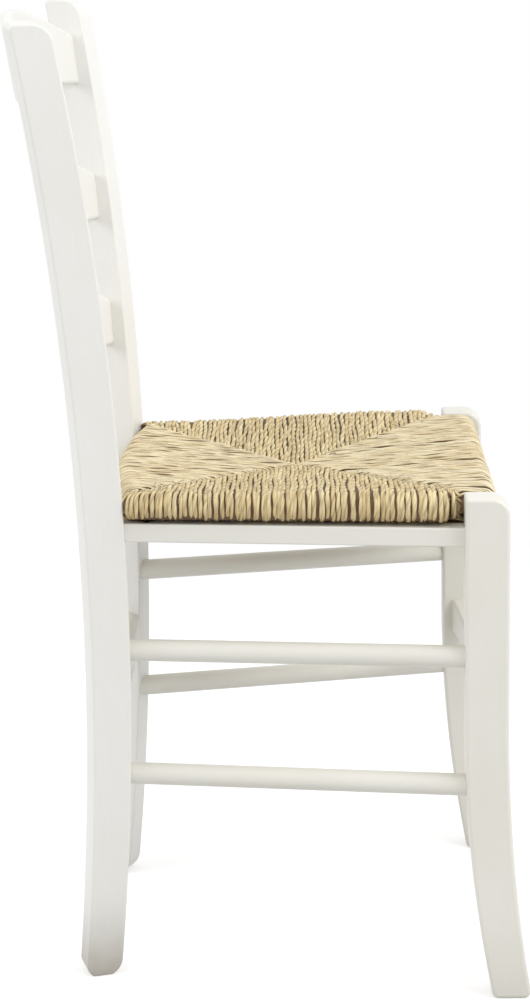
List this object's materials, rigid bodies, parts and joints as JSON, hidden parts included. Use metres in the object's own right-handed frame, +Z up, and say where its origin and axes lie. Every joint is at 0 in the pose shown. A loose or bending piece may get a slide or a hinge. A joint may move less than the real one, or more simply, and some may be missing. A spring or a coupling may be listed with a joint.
{
  "type": "slat back chair",
  "caption": "Painted wooden side chair with bowed back slats, sabre posts, round side stretchers and a lift-out woven rush seat.",
  "frame": {"origin": "on the floor, under the middle of the chair's overall box", "axes": "+Z up, the chair faces -Y, +X is the sitter's left"},
  "size_m": [0.4508, 0.47, 0.8817],
  "materials": {
    "painted_wood": "satin off-white paint",
    "bare_wood": "bare planed beech",
    "screw_steel": "bright zinc",
    "rush": "dry twisted rush"
  },
  "bodies": {
    "frame": {"rear_post_left": "painted_wood", "rear_post_right": "painted_wood", "front_leg_left": "painted_wood", "front_leg_right": "painted_wood", "crest_slat": "painted_wood", "middle_slat": "painted_wood", "lower_slat": "painted_wood", "side_rail_left": "painted_wood", "side_rail_right": "painted_wood", "front_rail": "painted_wood", "rear_rail": "painted_wood", "upper_side_stretcher_left": "painted_wood", "upper_side_stretcher_right": "painted_wood", "lower_side_stretcher_left": "painted_wood", "lower_side_stretcher_right": "painted_wood", "front_stretcher": "painted_wood", "rear_stretcher": "painted_wood", "front_corner_block_left": "bare_wood", "front_corner_block_right": "bare_wood", "rear_corner_block_left": "bare_wood", "rear_corner_block_right": "bare_wood", "rail_pins": "bare_wood", "block_screws": "screw_steel"},
    "seat": {"rush_seat": "rush", "seat_frame_front": "bare_wood", "seat_frame_rear": "bare_wood", "seat_frame_left": "bare_wood", "seat_frame_right": "bare_wood"}
  },
  "joints": [
    {"name": "seat_lift", "type": "slide", "parent": "frame", "child": "seat", "axis": [0, 0, 1], "range_m": [0, 0.08]}
  ]
}
